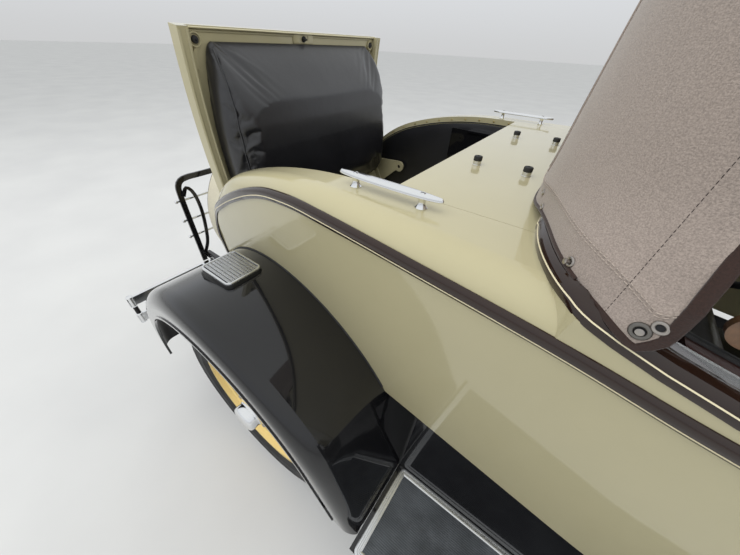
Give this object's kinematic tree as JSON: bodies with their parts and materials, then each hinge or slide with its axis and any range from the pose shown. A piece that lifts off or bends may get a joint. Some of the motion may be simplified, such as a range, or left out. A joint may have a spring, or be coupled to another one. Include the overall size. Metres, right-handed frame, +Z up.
{
  "type": "rumble-seat roadster car",
  "caption": "Two-seat roadster of about 1930 with wire wheels, a soft top, and a rumble seat under an open rear lid; steering, doors, hood halves, lid and wheels move",
  "frame": {"origin": "on the ground, below the middle of the bounding box", "axes": "+X forward, +Y to the car's left, +Z up"},
  "size_m": [4.1498, 1.702, 1.7472],
  "materials": {
    "body_paint": "gloss stone paint",
    "black_paint": "gloss black paint",
    "wheel_paint": "straw yellow paint",
    "rail_paint": "gloss brown paint",
    "chrome": "polished",
    "rubber": "matte black",
    "tyre": "matte black",
    "leather": "black leathercloth",
    "canvas": "tan canvas",
    "cover_cloth": "cream cloth, piped in brown",
    "glass": "clear",
    "aluminium": "ribbed, polished",
    "iron": "black enamel",
    "wood": "varnished"
  },
  "bodies": {
    "chassis": {"cowl": "body_paint", "quarter_panel_left": "body_paint", "quarter_panel_right": "body_paint", "rear_deck": "body_paint", "rear_body_panel": "body_paint", "cockpit_rail": "rail_paint", "frame_rails": "black_paint", "front_axle": "black_paint", "rear_axle": "black_paint", "steering_column": "black_paint", "floor": "black_paint", "rumble_lining": "black_paint", "front_fenders": "black_paint", "rear_fenders": "black_paint", "running_boards": "black_paint", "splash_aprons": "black_paint", "engine_block": "iron", "radiator_core": "iron", "exhaust": "iron", "spare_wheel": "wheel_paint", "radiator_shell": "chrome", "headlamps": "chrome", "tail_lamps": "chrome", "front_bumper": "chrome", "rear_bumpers": "chrome", "luggage_rack": "chrome", "windshield_frame": "chrome", "grab_handles": "chrome", "deck_buffers": "rubber", "front_seat": "leather", "rumble_seat_cushion": "leather", "soft_top": "canvas", "spare_cover": "cover_cloth", "windshield_glass": "glass", "step_plate": "aluminium", "top_bows": "wood"},
    "front_wheel_left": {"wheel_front_left": "wheel_paint", "tyre_front_left": "tyre"},
    "front_wheel_right": {"wheel_front_right": "wheel_paint", "tyre_front_right": "tyre"},
    "rear_wheel_left": {"wheel_rear_left": "wheel_paint", "tyre_rear_left": "tyre"},
    "rear_wheel_right": {"wheel_rear_right": "wheel_paint", "tyre_rear_right": "tyre"},
    "steering_knuckle_left": {"knuckle_left": "black_paint"},
    "steering_knuckle_right": {"knuckle_right": "black_paint"},
    "steering_tie_rod": {"tie_rod": "black_paint"},
    "hand_wheel": {"steering_wheel": "rubber"},
    "left_door": {"door_left": "body_paint"},
    "right_door": {"door_right": "body_paint"},
    "left_hood": {"hood_left": "body_paint"},
    "right_hood": {"hood_right": "body_paint"},
    "lid": {"rumble_lid": "body_paint", "lid_cushion": "leather"}
  },
  "joints": [
    {"name": "steer_left", "type": "hinge", "parent": "chassis", "child": "steering_knuckle_left", "pos_m": [1.439, 0.637, 0.358], "axis": [0, 0, 1], "range_deg": [-30, 30]},
    {"name": "steer_right", "type": "hinge", "parent": "chassis", "child": "steering_knuckle_right", "pos_m": [1.439, -0.637, 0.358], "axis": [0, 0, 1], "range_deg": [-30, 30]},
    {"name": "tie_rod_pivot", "type": "hinge", "parent": "steering_knuckle_left", "child": "steering_tie_rod", "pos_m": [1.289, 0.637, 0.286], "axis": [0, 0, 1], "range_deg": [-30, 30]},
    {"name": "hand_wheel_turn", "type": "hinge", "parent": "chassis", "child": "hand_wheel", "pos_m": [-0.002, 0.33, 1.012], "axis": [-0.7805, 0, 0.6251], "range_deg": [-390, 390]},
    {"name": "wheel_spin_front_left", "type": "hinge", "parent": "steering_knuckle_left", "child": "front_wheel_left", "pos_m": [1.439, 0.73, 0.358], "axis": [0, 1, 0], "continuous": true},
    {"name": "wheel_spin_front_right", "type": "hinge", "parent": "steering_knuckle_right", "child": "front_wheel_right", "pos_m": [1.439, -0.73, 0.358], "axis": [0, 1, 0], "continuous": true},
    {"name": "wheel_spin_rear_left", "type": "hinge", "parent": "chassis", "child": "rear_wheel_left", "pos_m": [-1.19, 0.73, 0.358], "axis": [0, 1, 0], "continuous": true},
    {"name": "wheel_spin_rear_right", "type": "hinge", "parent": "chassis", "child": "rear_wheel_right", "pos_m": [-1.19, -0.73, 0.358], "axis": [0, 1, 0], "continuous": true},
    {"name": "door_hinge_left", "type": "hinge", "parent": "chassis", "child": "left_door", "pos_m": [0.288, 0.578, 0.9], "axis": [0, 0, -1], "range_deg": [0, 65]},
    {"name": "door_hinge_right", "type": "hinge", "parent": "chassis", "child": "right_door", "pos_m": [0.288, -0.578, 0.9], "axis": [0, 0, 1], "range_deg": [0, 65]},
    {"name": "hood_hinge_left", "type": "hinge", "parent": "chassis", "child": "left_hood", "pos_m": [0.5155, 0, 1.124], "axis": [0.9987, 0, -0.0511], "range_deg": [0, 60]},
    {"name": "hood_hinge_right", "type": "hinge", "parent": "chassis", "child": "right_hood", "pos_m": [0.5155, 0, 1.124], "axis": [-0.9987, 0, 0.0511], "range_deg": [0, 60]},
    {"name": "lid_hinge", "type": "hinge", "parent": "chassis", "child": "lid", "pos_m": [-1.395, 0, 0.877], "axis": [0, 1, 0], "range_deg": [0, 82]}
  ],
  "couplings": [
    {"joint": "steer_right", "follows": "steer_left", "ratio": 1},
    {"joint": "tie_rod_pivot", "follows": "steer_left", "ratio": -1},
    {"joint": "hand_wheel_turn", "follows": "steer_left", "ratio": 13}
  ]
}
